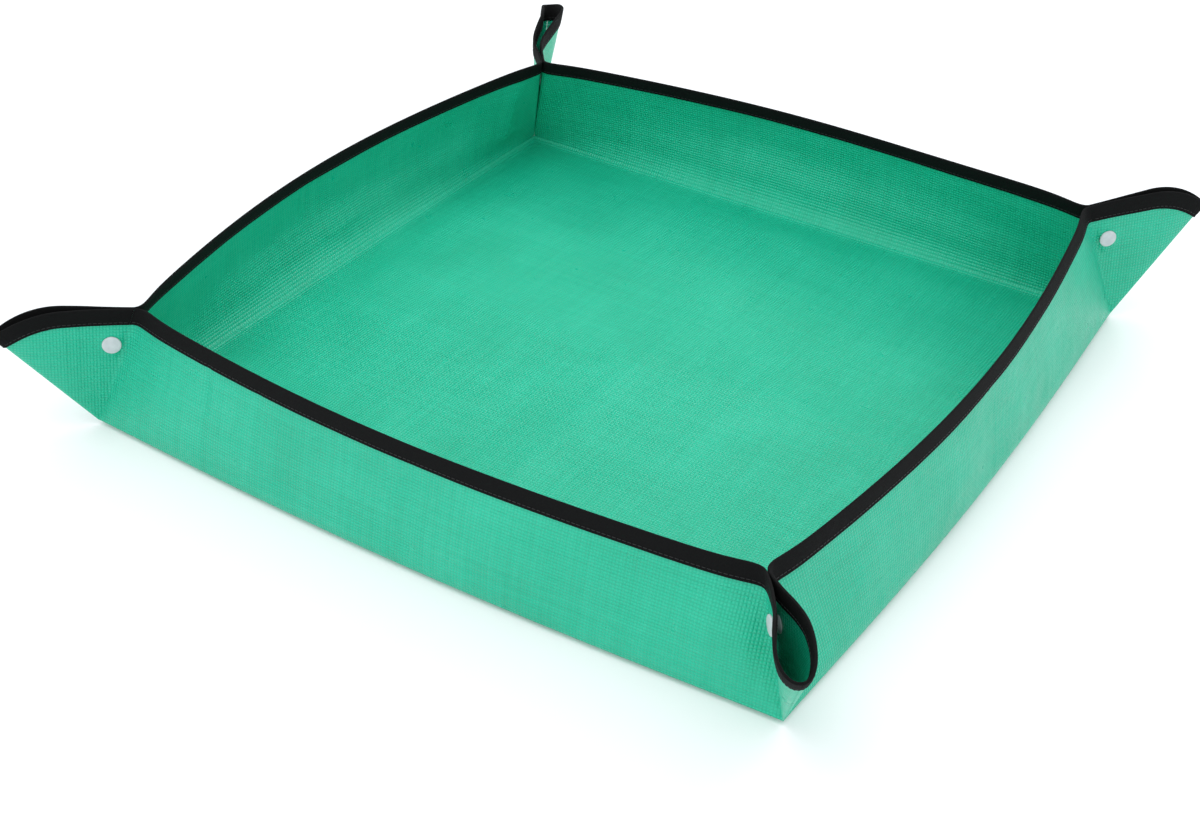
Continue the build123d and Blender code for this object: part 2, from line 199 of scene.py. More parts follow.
def wall_surface(wall, spot, rise):
    """Points of a wall: spot runs from -1 to 1 along it, rise from foot to rim."""
    outward, along = WALLS[wall]
    half_length = HALF_BASE - HEAD_ALONG * rise
    arch = np.maximum(1 - spot ** 2, 0) ** ARCH_POWER
    below_rim = np.maximum(1 - rise, 0)
    bow = RIM_BOW[wall] * (1 - below_rim ** BELLY_POWER)
    foot = FOOT_BULGE * (1 - below_rim ** FOOT_TURN_POWER) * below_rim ** FOOT_FADE_POWER
    foot_bow = FOOT_BOW[wall] * arch * below_rim ** FOOT_BOW_POWER
    turn = np.maximum(TURN_LENGTH * rise, TINY)
    from_end = (1 - np.abs(spot)) * half_length
    shift = bow * arch + foot * (1 - np.abs(spot) ** END_BLEND_POWER) - HEAD_INSET * rise + foot_bow
    shift = shift - from_end * np.exp(-from_end / turn)
    point = (spot * half_length)[..., None] * along + (HALF_BASE + shift)[..., None] * outward
    point = point + (LIFT + (HEAD_RISE - RIM_DIP * arch) * rise)[..., None] * UP
    for end in ENDS:
        if end.wall == wall:
            stand = LAYER_CLEARANCE * np.clip(spot * end.side, 0, 1) ** END_BLEND_POWER
            point = point + stand[..., None] * end.lateral
    return settle(point)


def wall_flat(wall, spot, rise):
    """The same points on the unfolded sheet."""
    outward, along = WALLS[wall]
    half_length = HALF_BASE - HEAD_ALONG * rise
    point = (spot * half_length)[..., None] * along
    return (point + (HALF_BASE + WALL_HEIGHT * rise)[..., None] * outward)[..., :2]


def ear_rim(angle):
    """Flat distance from the base corner to the rim, and the slant of the rim there."""
    from_upright = angle - FLAT_TILT
    straight = WALL_HEIGHT / np.cos(from_upright)
    centre = WALL_HEIGHT - CORNER_RADIUS
    towards = centre * (np.sin(from_upright) + np.cos(from_upright))
    rounded = towards + np.sqrt(np.maximum(towards ** 2 - 2 * centre ** 2 + CORNER_RADIUS ** 2, 0))
    on_straight = straight * np.sin(from_upright) <= centre
    reach = np.where(on_straight, straight, rounded)
    across = reach * np.sin(from_upright) - centre
    up = reach * np.cos(from_upright) - centre
    slant = np.where(on_straight, np.cos(from_upright), np.cos(np.arctan2(across, up) - from_upright))
    return reach, slant


def ear_surface(end, angle, reach):
    """Points of an ear half: angle from the pinch line, reach from the base corner."""
    share = np.clip(angle / EAR_ANGLE, 0, 1)
    bend = np.arccos(1 - 2 * share)
    loop = np.sin(bend) * np.sin(bend / 2) ** LOOP_POWER / LOOP_PEAK
    swing = PINCH_SWING * (1 - bend / math.pi) + math.radians(EAR_OPENING_ANGLE[end.corner]) * loop
    lean = math.radians(EAR_LEAN_ANGLE[end.corner]) * end.side
    start, stop = LEAN_START_SHARE[end.corner], LEAN_END_SHARE[end.corner]
    lean = lean * fade((share - start) / (stop - start))
    tilt = PINCH_TILT + angle * (1 - (1 - EAR_SPAN_SHARE[end.corner]) * share)
    along = reach * np.cos(swing)
    point = (along * np.sin(tilt))[..., None] * end.radial + (along * np.cos(tilt))[..., None] * UP
    offset = reach * (np.sin(swing) + np.sin(lean)) + LAYER_CLEARANCE
    from_upright = angle - FLAT_TILT
    beyond, rise = reach * np.sin(from_upright), reach * np.cos(from_upright)
    offset = part_at_snap(offset, beyond, rise, reach * np.sin(angle))
    raised = EAR_RAISE[end.corner] * share * reach / PINCH_LENGTH
    return settle(end.apex + point + offset[..., None] * end.lateral + raised[..., None] * UP)


def ear_flat(end, angle, reach):
    """The same points on the unfolded sheet."""
    from_upright = angle - FLAT_TILT
    point = (reach * np.cos(from_upright))[..., None] * end.outward
    point = point + (reach * np.sin(from_upright) * end.side)[..., None] * end.along
    return (end.apex + point)[..., :2]


# Creases and waves of the sheet, in flat coordinates

# Package folds: whether their place is an x (0) or a y (1), the place, height and width
FOLDS = [
    (0, 0.006, 0.0022, 0.030),
    (1, 0.014, 0.0024, 0.032),
    (0, 0.171, -0.0006, 0.010),
    (1, -0.158, -0.0005, 0.012),
]
# A crease across the left wall alone: its y, height and width
LEFT_WALL_FOLD = (0.212, 0.0035, 0.016)
# Dents: middle, half size and depth
DENTS = [
    ((-0.160, -0.325), (0.003, 0.030), 0.0020),
    ((-0.115, -0.328), (0.0025, 0.020), 0.0012),
    ((0.217, -0.297), (0.026, 0.016), -0.0035),
    ((-0.305, -0.020), (0.030, 0.0025), -0.0009),
    ((0.0, 0.281), (0.19, 0.013), 0.0022),
    ((-0.279, 0.03), (0.012, 0.16), 0.0016),
]
# Waves: height, length, heading in degrees and start
WAVES = [
    (0.0006, 0.19, 20, 0.6),
    (0.0006, 0.23, 110, 2.1),
    (0.0003, 0.083, 65, 4.0),
    (0.0002, 0.061, 150, 1.2),
]
# The relief's own level, and how it fades towards the sheet's edge and the panels' folds
STANDING_RELIEF = 0.0008
EDGE_FADE = 0.03
FOLD_FADE = 0.02
BASE_BORDER = 0.008


def crease(place, at, height, width):
    """A soft ridge or valley across the sheet, sharp at its crest."""
    return height * np.exp(-np.abs(place - at) / width)


def dent(x, y, centre, size, depth):
    """A soft oval hollow, or a swelling where its depth is negative."""
    return depth * np.exp(-((x - centre[0]) / size[0]) ** 2 - ((y - centre[1]) / size[1]) ** 2)


def wave(x, y, length, turn, start):
    """One gentle wave across the sheet."""
    heading = x * math.cos(math.radians(turn)) + y * math.sin(math.radians(turn))
    return np.sin(2 * math.pi * heading / length + start)


def relief(flat):
    """How far the real sheet stands off its plain form, towards the tray's inside."""
    x, y = flat[..., 0], flat[..., 1]
    total = sum(crease(flat[..., axis], at, height, width) for axis, at, height, width in FOLDS)
    total = total + sum(dent(x, y, centre, size, depth) for centre, size, depth in DENTS)
    total = total + crease(y, *LEFT_WALL_FOLD) * fade((-x - HALF_BASE) / FOLD_FADE)
    total = total + sum(height * wave(x, y, length, turn, start) for height, length, turn, start in WAVES)
    from_edge = HALF_BASE + WALL_HEIGHT - np.maximum(np.abs(x), np.abs(y))
    return (total + STANDING_RELIEF) * fade(from_edge / EDGE_FADE)


def base_relief(flat):
    """The sheet's relief on the base, which lies on the floor along its edges."""
    from_edge = HALF_BASE - np.maximum(np.abs(flat[..., 0]), np.abs(flat[..., 1]))
    return np.maximum(relief(flat), 0) * fade((from_edge - BASE_BORDER) / EDGE_FADE)


def panel_relief(flat, from_fold):
    """The relief on a panel that stands up, which fades out at its folds."""
    return relief(flat) * fade(from_fold / FOLD_FADE)


# Meshes

def normals_of(points):
    """Unit normals of a grid of points."""
    first = np.gradient(points, axis=0)
    second = np.gradient(points, axis=1)
    normal = np.cross(first, second)
    return normal / np.maximum(np.linalg.norm(normal, axis=-1, keepdims=True), TINY ** 3)


def grid_faces(rows, columns, start, flip, wrap=False):
    """Four-sided faces of a grid of points whose numbers begin at start."""
    faces = []
    for row in range(rows - 1):
        for column in range(columns if wrap else columns - 1):
            after = (column + 1) % columns
            corners = (row * columns + column, (row + 1) * columns + column,
                       (row + 1) * columns + after, row * columns + after)
            faces.append([start + corner for corner in (corners[::-1] if flip else corners)])
    return faces


def mesh_object(name, points, faces, places, material, sharp_angle=40):
    """A smooth mesh with one map of places on its material, in metres."""
    mesh = bpy.data.meshes.new(name)
    mesh.from_pydata(points.tolist(), [], faces)
    layer = mesh.uv_layers.new(name="flat")
    corners = np.empty(len(mesh.loops), int)
    mesh.loops.foreach_get("vertex_index", corners)
    layer.data.foreach_set("uv", places[corners].astype(np.float32).ravel())
    mesh.validate()
    mesh.shade_smooth()
    mesh.set_sharp_from_angle(angle=math.radians(sharp_angle))
    mesh.materials.append(material)
    piece = bpy.data.objects.new(name, mesh)
    bpy.context.scene.collection.objects.link(piece)
    return piece


def skin(name, inner, outer, flat, inward_up, material):
    """A thin closed sheet between two grids of points."""
    rows, columns = inner.shape[:2]
    count = rows * columns
    points = np.concatenate([inner.reshape(-1, 3), outer.reshape(-1, 3)])
    faces = grid_faces(rows, columns, 0, not inward_up)
    faces += grid_faces(rows, columns, count, inward_up)
    border = list(range(columns))
    border += [row * columns + columns - 1 for row in range(1, rows)]
    border += [(rows - 1) * columns + column for column in range(columns - 2, -1, -1)]
    border += [row * columns for row in range(rows - 2, 0, -1)]
    for place, here in enumerate(border):
        after = border[(place + 1) % len(border)]
        side = [here, after, after + count, here + count]
        faces.append(side if not inward_up else side[::-1])
    places = np.concatenate([flat.reshape(-1, 2)] * 2)
    return mesh_object(name, points, faces, places, material)


def tube(name, rings, places, material):
    """A closed strip through rings of points, capped at both ends."""
    rows, columns = rings.shape[:2]
    faces = grid_faces(rows, columns, 0, False, wrap=True)
    faces.append(list(range(columns)))
    faces.append([(rows - 1) * columns + column for column in range(columns - 1, -1, -1)])
    return mesh_object(name, rings.reshape(-1, 3), faces, places.reshape(-1, 2), material)


def lathe(name, plane, outline, steps, material):
    """A turned piece: outline holds radius and height, plane is a matrix to its seat."""
    points = []
    for turn in range(steps):
        angle = 2 * math.pi * turn / steps
        for radius, height in outline:
            points.append(plane @ Vector((radius * math.cos(angle), radius * math.sin(angle), height)))
    points = np.array([tuple(point) for point in points])
    columns = len(outline)
    faces = []
    for turn in range(steps):
        after = (turn + 1) % steps
        for place in range(columns - 1):
            faces.append([turn * columns + place, after * columns + place,
                          after * columns + place + 1, turn * columns + place + 1])
    faces.append([turn * columns for turn in range(steps - 1, -1, -1)])
    faces.append([turn * columns + columns - 1 for turn in range(steps)])
    return mesh_object(name, points, faces, np.zeros((len(points), 2)), material)


# Materials

class Surface:
    """A material and short calls for its nodes."""

    def __init__(self, name):
        self.material = bpy.data.materials.new(name)
        self.material.use_nodes = True
        self.tree = self.material.node_tree
        self.shader = self.tree.nodes["Principled BSDF"]

    def add(self, kind, **settings):
        node = self.tree.nodes.new(kind)
        for name, value in settings.items():
            setattr(node, name, value)
        return node

    def feed(self, socket, value):
        if isinstance(value, bpy.types.NodeSocket):
            self.tree.links.new(value, socket)
        else:
            socket.default_value = value

    def sums(self, operation, first, second=0.0, third=0.0):
        """One step of arithmetic on sockets or numbers."""
        node = self.add("ShaderNodeMath", operation=operation)
        for socket, value in zip(node.inputs, (first, second, third)):
            self.feed(socket, value)
        return node.outputs[0]

    def places(self):
        """The flat place of a point, in metres, as a vector, and its two coordinates."""
        uv = self.add("ShaderNodeUVMap", uv_map="flat").outputs[0]
        parts = self.add("ShaderNodeSeparateXYZ")
        self.feed(parts.inputs[0], uv)
        return uv, parts.outputs[0], parts.outputs[1]

    def noise(self, vector, scale, detail=2.0, stretch=(1, 1, 1)):
        """Noise from 0 to 1, stretched along the flat axes."""
        mapping = self.add("ShaderNodeMapping")
        mapping.inputs["Scale"].default_value = stretch
        self.feed(mapping.inputs[0], vector)
        node = self.add("ShaderNodeTexNoise")
        self.feed(node.inputs["Vector"], mapping.outputs[0])
        node.inputs["Scale"].default_value = scale
        node.inputs["Detail"].default_value = detail
        return node.outputs[0]

    def ramp(self, value, stops):
        """Colours at places from 0 to 1, blended in between."""
        node = self.add("ShaderNodeValToRGB")
        self.feed(node.inputs[0], value)
        elements = node.color_ramp.elements
        while len(elements) < len(stops):
            elements.new(0.5)
        for element, (place, colour) in zip(elements, stops):
            element.position = place
            element.color = (*colour, 1)
        return node.outputs[0]

    def scaled(self, value, low, high, to_low, to_high):
        """A value from low to high, spread from to_low to to_high."""
        node = self.add("ShaderNodeMapRange")
        for socket, number in zip(node.inputs, (value, low, high, to_low, to_high)):
            self.feed(socket, number)
        return node.outputs[0]

    def bump(self, height, distance, under=None):
        """Normals of a height map, over those of a coarser one."""
        node = self.add("ShaderNodeBump")
        node.inputs["Distance"].default_value = distance
        node.inputs["Strength"].default_value = 1.0
        self.feed(node.inputs["Height"], height)
        if under is not None:
            self.feed(node.inputs["Normal"], under)
        return node.outputs[0]


# How flat a woven strip's back is, and how much it dips where it goes under another
STRIP_FLATNESS = 0.35
STRIP_DIP = 0.6


def plain_weave(surface, x, y, pitch):
    """Height of a plain weave of flat strips, 0 to 1."""
    across = surface.sums("DIVIDE", x, pitch)
    along = surface.sums("DIVIDE", y, pitch)
    turn = surface.sums("ADD", surface.sums("FLOOR", across), surface.sums("FLOOR", along))
    over = surface.sums("FLOORED_MODULO", turn, 2.0)

    def hump(value):
        sine = surface.sums("SINE", surface.sums("MULTIPLY", value, math.pi))
        return surface.sums("MULTIPLY", sine, sine)

    first, second = hump(across), hump(along)
    flat_first = surface.sums("POWER", first, STRIP_FLATNESS)
    flat_second = surface.sums("POWER", second, STRIP_FLATNESS)
    dip_first = surface.sums("MULTIPLY_ADD", first, STRIP_DIP, 1 - STRIP_DIP)
    dip_second = surface.sums("MULTIPLY_ADD", second, STRIP_DIP, 1 - STRIP_DIP)
    warp = surface.sums("MULTIPLY", flat_first, dip_second)
    weft = surface.sums("MULTIPLY", flat_second, dip_first)
    kept = surface.sums("MULTIPLY", warp, over)
    other = surface.sums("MULTIPLY", weft, surface.sums("SUBTRACT", 1.0, over))
    return surface.sums("ADD", kept, other)


SHEET_GREEN = (0.006, 0.505, 0.305)
SHEET_SHADE = (0.003, 0.430, 0.250)
SHEET_PALE = (0.024, 0.580, 0.370)
WEAVE_PITCH = 0.0021
STREAKS_PER_METRE = 9
# How much the clouds, the streaks and the weave change the sheet's tone
CLOUD_SHARE = 0.5
STREAK_SHARE = 0.25
WEAVE_SHARE = 0.34
TONE_DROP = 0.1


def sheet_material():
    """Coated woven plastic: flat strips show through a glossy film."""
    surface = Surface("coated_weave")
    place, x, y = surface.places()
    weave = plain_weave(surface, x, y, WEAVE_PITCH)
    per_strip = 1 / WEAVE_PITCH / 2
    strips_across = surface.noise(place, scale=1.0, detail=1.0, stretch=(per_strip, STREAKS_PER_METRE, 1))
    strips_along = surface.noise(place, scale=1.0, detail=1.0, stretch=(STREAKS_PER_METRE, per_strip, 1))
    streaks = surface.sums("ADD", strips_across, strips_along)
    cloudy = surface.noise(place, scale=14, detail=3.0)
    tone = surface.sums("MULTIPLY", streaks, STREAK_SHARE)
    tone = surface.sums("MULTIPLY_ADD", cloudy, CLOUD_SHARE, tone)
    tone = surface.sums("MULTIPLY_ADD", weave, WEAVE_SHARE, surface.sums("SUBTRACT", tone, TONE_DROP))
    colour = surface.ramp(tone, [(0.3, SHEET_SHADE), (0.55, SHEET_GREEN), (0.85, SHEET_PALE)])
    surface.feed(surface.shader.inputs["Base Color"], colour)
    rough = surface.noise(place, scale=60, detail=3.0)
    surface.feed(surface.shader.inputs["Roughness"], surface.scaled(rough, 0.3, 0.7, 0.27, 0.42))
    surface.shader.inputs["IOR"].default_value = 1.5
    surface.shader.inputs["Specular IOR Level"].default_value = 0.42
    ripples = surface.bump(surface.noise(place, scale=34), distance=0.0012)
    puckers = surface.bump(surface.noise(place, scale=210), distance=0.0001, under=ripples)
    streaky = surface.bump(streaks, distance=0.0003, under=puckers)
    woven = surface.bump(weave, distance=0.0005, under=streaky)
    surface.feed(surface.shader.inputs["Normal"], woven)
    surface.shader.inputs["Coat Weight"].default_value = 0.12
    surface.shader.inputs["Coat Roughness"].default_value = 0.2
    surface.feed(surface.shader.inputs["Coat Normal"], woven)
    return surface.material


TAPE_BLACK = (0.0012, 0.0013, 0.0014)
TAPE_GREY = (0.0065, 0.0068, 0.007)
TAPE_WEAVE_PITCH = 0.0007
DUST_SHARE = 0.5


def tape_material():
    """Black ribbed polyester tape with a fine grain."""
    surface = Surface("edge_tape")
    place, along, across = surface.places()
    weave = plain_weave(surface, along, across, TAPE_WEAVE_PITCH)
    dust = surface.sums("MULTIPLY", surface.noise(place, scale=900), DUST_SHARE)
    tone = surface.sums("MULTIPLY_ADD", weave, 1 - DUST_SHARE, dust)
    colour = surface.ramp(tone, [(0.2, TAPE_BLACK), (0.9, TAPE_GREY)])
    surface.feed(surface.shader.inputs["Base Color"], colour)
    surface.shader.inputs["Roughness"].default_value = 0.85
    surface.shader.inputs["Specular IOR Level"].default_value = 0.15
    ripple = surface.bump(surface.noise(place, scale=120), distance=0.0004)
    woven = surface.bump(weave, distance=0.00014, under=ripple)
    surface.feed(surface.shader.inputs["Normal"], woven)
    return surface.material


THREAD_BLACK = (0.003, 0.003, 0.0033)
THREAD_GREY = (0.011, 0.011, 0.012)
# The thread's twist, in radians per metre
TWISTS_ALONG = 9000.0
TWISTS_ACROSS = 5000.0


def thread_material():
    """Twisted black thread."""
    surface = Surface("thread")
    _, along, across = surface.places()
    turned = surface.sums("MULTIPLY", across, TWISTS_ACROSS)
    twist = surface.sums("SINE", surface.sums("MULTIPLY_ADD", along, TWISTS_ALONG, turned))
    colour = surface.ramp(surface.scaled(twist, -1, 1, 0, 1), [(0.0, THREAD_BLACK), (1.0, THREAD_GREY)])
    surface.feed(surface.shader.inputs["Base Color"], colour)
    surface.shader.inputs["Roughness"].default_value = 0.5
    surface.feed(surface.shader.inputs["Normal"], surface.bump(twist, distance=0.00006))
    return surface.material


SNAP_SHADE = (0.52, 0.56, 0.58)
SNAP_PALE = (0.62, 0.66, 0.68)


def snap_material():
    """Pale moulded plastic, slightly marked."""
    surface = Surface("snap")
    coordinates = surface.add("ShaderNodeTexCoord").outputs["Object"]
    marks = surface.noise(coordinates, scale=240, detail=3.0)
    colour = surface.ramp(marks, [(0.3, SNAP_SHADE), (0.75, SNAP_PALE)])
    surface.feed(surface.shader.inputs["Base Color"], colour)
    surface.feed(surface.shader.inputs["Roughness"], surface.scaled(marks, 0.3, 0.7, 0.28, 0.42))
    surface.feed(surface.shader.inputs["Normal"], surface.bump(marks, distance=0.00008))
    return surface.material


SHEET = sheet_material()
TAPE = tape_material()
THREAD = thread_material()
SNAP = snap_material()


# The sheet

BASE_STEPS = 170
LIP_STEPS = 8
WALL_STEPS = 220
RISE_STEPS = 36
BEND_STEPS = 56
REACH_STEPS = 44
EAR_RELIEF_SHARE = 0.3
SPOT_CROWDING = 0.35


def base_piece():
    """Flat base with a lip that starts the turn up into the walls."""
    flat_half = HALF_BASE - LIP_RADIUS * math.sin(LIP_ANGLE)
    lip = flat_half + LIP_RADIUS * np.sin(np.linspace(0, LIP_ANGLE, LIP_STEPS))
    line = np.concatenate([-lip[::-1], np.linspace(-flat_half, flat_half, BASE_STEPS)[1:-1], lip])
    x, y = np.meshgrid(line, line, indexing="ij")
    beyond = np.maximum(np.abs(x), np.abs(y)) - flat_half
    turn = np.arcsin(np.clip(beyond / LIP_RADIUS, 0, 1))
    flat = np.stack([x, y], axis=-1)
    height = SHEET_THICKNESS / 2 + LIP_RADIUS * (1 - np.cos(turn)) + base_relief(flat)
    points = np.stack([x, y, height], axis=-1)
    for wall, (outward, along) in WALLS.items():
        out = fade(((points * outward).sum(-1) - HALF_BASE) / FOOT_BOW_REACH + 1)
        arch = np.maximum(1 - ((points * along).sum(-1) / HALF_BASE) ** 2, 0) ** ARCH_POWER
        points = points + (FOOT_BOW[wall] * out * arch)[..., None] * outward
    normal = normals_of(points)
    half = SHEET_THICKNESS / 2
    upper, lower = points + normal * half, points - normal * half
    piece = skin("sheet_base_skin", upper, lower, flat, True, SHEET)
    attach(piece, "base")
    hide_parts("sheet_base")
    return piece


def wall_spots(steps):
    """Stations along a wall, closer together towards its ends."""
    even = np.linspace(-1, 1, steps)
    return even * (1 + SPOT_CROWDING - SPOT_CROWDING * even ** 2)


def wall_grid(wall, spots, rises):
    """Points on the inner face of a wall, unit normals to its outside, flat places."""
    spot, rise = np.meshgrid(spots, rises, indexing="ij")
    points = wall_surface(wall, spot, rise)
    normal = normals_of(points)
    facing = (normal.mean(axis=(0, 1)) * WALLS[wall][0]).sum()
    normal = normal * (1 if facing > 0 else -1)
    low = -SHEET_THICKNESS / 2 * (1 - np.abs(spot) ** END_BLEND_POWER)
    return points + normal * low[..., None], normal, wall_flat(wall, spot, rise)


def wall_shift(wall, spots, rises):
    """How far the sheet's relief moves a wall towards the inside."""
    spot, rise = np.meshgrid(spots, rises, indexing="ij")
    half_length = HALF_BASE - HEAD_ALONG * rise
    from_fold = np.minimum(WALL_HEIGHT * rise, (1 - np.abs(spot)) * half_length)
    return panel_relief(wall_flat(wall, spot, rise), from_fold)


def wall_piece(wall):
    spots, rises = wall_spots(WALL_STEPS), np.linspace(0, 1, RISE_STEPS)
    inner, normal, flat = wall_grid(wall, spots, rises)
    inner = inner - normal * wall_shift(wall, spots, rises)[..., None]
    outer = inner + normal * SHEET_THICKNESS
    turned = np.cross(inner[1, 0] - inner[0, 0], inner[0, 1] - inner[0, 0])
    facing = (turned * normal[0, 0]).sum()
    piece = skin(f"sheet_wall_{wall}_skin", inner, outer, flat, facing < 0, SHEET)
    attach(piece, f"wall_{wall}")
    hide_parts(f"sheet_wall_{wall}")
    return piece


def ear_angles(steps):
    """Stations of an ear half, close together where it bends sharply at the tip."""
    bend = np.linspace(0, math.pi, steps)
    return EAR_ANGLE * (1 - np.cos(bend)) / 2


def ear_grid(end, angles, reaches):
    """Points on the contact side of an ear half, outside normals and flat places."""
    angle = np.broadcast_to(angles[:, None], reaches.shape)
    points = ear_surface(end, angle, reaches)
    normal = normals_of(points)
    facing = (normal[:len(normal) // 2].mean(axis=(0, 1)) * end.lateral).sum()
    return points, normal * (1 if facing > 0 else -1), ear_flat(end, angle, reaches)


def ear_shift(angles, reaches, flat):
    """How far the sheet's relief moves an ear half away from the corner's middle."""
    angle = angles[:, None]
    from_fold = reaches * np.sin(np.minimum(angle, EAR_ANGLE - angle))
    waves = relief(flat) - STANDING_RELIEF
    return EAR_RELIEF_SHARE * waves * fade(from_fold / FOLD_FADE)


def ear_piece(end):
    angles = ear_angles(BEND_STEPS)
    rim, _ = ear_rim(angles)
    share = np.linspace(0, 1, REACH_STEPS)
    reaches = APEX_GAP + (rim[:, None] - APEX_GAP) * share[None, :]
    inner, normal, flat = ear_grid(end, angles, reaches)
    inner = inner + normal * ear_shift(angles, reaches, flat)[..., None]
    outer = inner + normal * SHEET_THICKNESS
    turned = np.cross(inner[1, -1] - inner[0, -1], inner[0, -1] - inner[0, -2])
    facing = (turned * normal[0, -1]).sum()
    piece = skin(f"sheet_ear_{end.name}_skin", inner, outer, flat, facing < 0, SHEET)
    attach(piece, f"ear_{end.name}")
    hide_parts(f"sheet_ear_{end.name}")
    return piece


# The tape and its seam

TAPE_STEPS = 260
TAPE_EAR_STEPS = 90
FOLD_STEPS = 9
SEAM_INSET = 0.002
# The tape's arm: distance in from its edge, and how far it bulges there
TAPE_BULGES = [
    (0.0, -0.00025),
    (0.00015, 0),
    (0.0012, 0.00005),
    (SEAM_INSET, -0.00008),
    (0.0032, 0.0001),
    (0.0050, 0.00018),
    (0.0075, 0.00008),
]
STITCH_PITCH = 0.0032
STITCH_LENGTH = 0.0025
STITCH_WIDTH = 0.0005
STITCH_HEIGHT = 0.00022
# One stitch: places along it, its thickness there, and the angles of its round section
STITCH_SHARES = np.array([0.0, 0.14, 0.86, 1.0])
STITCH_SWELL = np.array([0.35, 1.0, 1.0, 0.35])
STITCH_SIDES = np.radians(np.array([-20, 25, 65, 115, 155, 200]))
HEADING_STEP = 100 * TINY
# The tape's small gathers near the tip of an ear
GATHER_PITCH = 0.0046
GATHER_HEIGHT = 0.00028
GATHER_START_SHARE = 0.8
GATHER_FADE_SHARE = 0.1
GATHER_RIM_FADE = 0.003


def tape_outline():
    """The folded tape's section: distance above the rim and off the inner face."""
    outer = SHEET_THICKNESS + TAPE_GAP + TAPE_THICKNESS
    inner = -TAPE_GAP - TAPE_THICKNESS
    middle = SHEET_THICKNESS / 2
    radius = (outer - inner) / 2
    fold_centre = TAPE_GAP + TAPE_THICKNESS - radius
    arm = [(from_edge - TAPE_WIDTH, bulge) for from_edge, bulge in TAPE_BULGES]
    outline = [(rise, outer + bulge) for rise, bulge in arm]
    for turn in np.linspace(0, math.pi, FOLD_STEPS):
        outline.append((fold_centre + radius * math.sin(turn), middle + radius * math.cos(turn)))
    outline += [(rise, inner - bulge) for rise, bulge in reversed(arm)]
    outline += [(-TAPE_WIDTH, -TAPE_GAP), (0.0, -TAPE_GAP)]
    outline += [(0.0, SHEET_THICKNESS + TAPE_GAP), (-TAPE_WIDTH, SHEET_THICKNESS + TAPE_GAP)]
    return outline


def lengths_along(line):
    """Distance along a line of points."""
    steps = np.linalg.norm(np.diff(line, axis=0), axis=1)
    return np.concatenate([[0], np.cumsum(steps)])


class Rim:
    """The rim of one panel: its foot and rim lines under the tape, with normals."""

    def __init__(self, feet, heads, foot_normals, head_normals, gather):
        self.feet = feet
        self.heads = heads
        self.foot_normals = foot_normals
        self.head_normals = head_normals
        self.gather = gather
        self.length = lengths_along(heads)

    def at(self, rise, offset):
        """A line of points at a distance above the rim and off the sheet's inner face."""
        share = 1 + rise / TAPE_WIDTH
        normal = self.foot_normals * (1 - share) + self.head_normals * share
        return self.feet * (1 - share) + self.heads * share + normal * offset


def wall_rim(wall, steps):
    spots = wall_spots(steps)
    rises = np.array([1 - TAPE_WIDTH / WALL_HEIGHT, 1 - TAPE_WIDTH / WALL_HEIGHT / 2, 1])
    inner, normal, _ = wall_grid(wall, spots, rises)
    inner = inner - normal * wall_shift(wall, spots, rises)[..., None]
    return Rim(inner[:, 0], inner[:, 2], normal[:, 0], normal[:, 2], np.zeros(steps))


def ear_rim_line(end, steps):
    angles = ear_angles(steps)
    rim, slant = ear_rim(angles)
    foot = rim - TAPE_WIDTH / slant
    reaches = np.stack([foot, (foot + rim) / 2, rim], axis=1)
    points, normal, flat = ear_grid(end, angles, reaches)
    points = points + normal * ear_shift(angles, reaches, flat)[..., None]
    gather = fade((angles / EAR_ANGLE - GATHER_START_SHARE) / GATHER_FADE_SHARE)
    return Rim(points[:, 0], points[:, 2], normal[:, 0], normal[:, 2], gather)


def tape_piece(name, rim):
    outline = tape_outline()
    rings = []
    places = []
    around = 0.0
    last = outline[0]
    for rise, offset in outline:
        around += math.hypot(rise - last[0], offset - last[1])
        last = (rise, offset)
        side = 1 if offset > SHEET_THICKNESS / 2 else -1
        outside = abs(offset - SHEET_THICKNESS / 2) > SHEET_THICKNESS / 2 + TAPE_GAP + TINY
        ripple = GATHER_HEIGHT * rim.gather * np.sin(2 * math.pi * rim.length / GATHER_PITCH)
        held = fade(-rise / GATHER_RIM_FADE) if outside else 0
        rings.append(rim.at(rise, (offset + side * np.abs(ripple) * held)[:, None]))
        places.append(np.stack([rim.length, np.full(len(rim.length), around)], axis=1))
    rings = np.stack(rings, axis=1)
    places = np.stack(places, axis=1)
    return tube(name, rings, places, TAPE)


def stitch_line(line, normal):
    """Points, faces and places of one row of stitches that lie along a line of points."""
    length = lengths_along(line)
    count = int(length[-1] / STITCH_PITCH)
    margin = (length[-1] - count * STITCH_PITCH + STITCH_PITCH - STITCH_LENGTH) / 2
    starts = margin + STITCH_PITCH * np.arange(count)
    stations = (starts[:, None] + STITCH_LENGTH * STITCH_SHARES[None, :]).ravel()

    def on(values, ahead=0.0):
        where = stations + ahead
        return np.stack([np.interp(where, length, values[:, axis]) for axis in range(3)], axis=1)

    centre, outward = on(line), on(normal)
    across = np.cross(outward, on(line, HEADING_STEP) - on(line, -HEADING_STEP))
    across /= np.linalg.norm(across, axis=1, keepdims=True)
    swells = np.tile(STITCH_SWELL, count)[:, None]
    rings = [centre + across * np.cos(side) * swells * STITCH_WIDTH / 2
             + outward * np.sin(side) * swells * STITCH_HEIGHT for side in STITCH_SIDES]
    points = np.stack(rings, axis=1)
    columns = len(STITCH_SIDES)
    size = len(STITCH_SHARES) * columns
    faces = []
    for stitch in range(count):
        start = stitch * size
        faces += grid_faces(len(STITCH_SHARES), columns, start, False, wrap=True)
        faces.append([start + place for place in range(columns)])
        faces.append([start + size - 1 - place for place in range(columns)])
    places = np.stack([np.repeat(stations, columns),
                       np.tile(STITCH_WIDTH * np.cos(STITCH_SIDES), len(stations))], axis=1)
    return points.reshape(-1, 3), faces, places


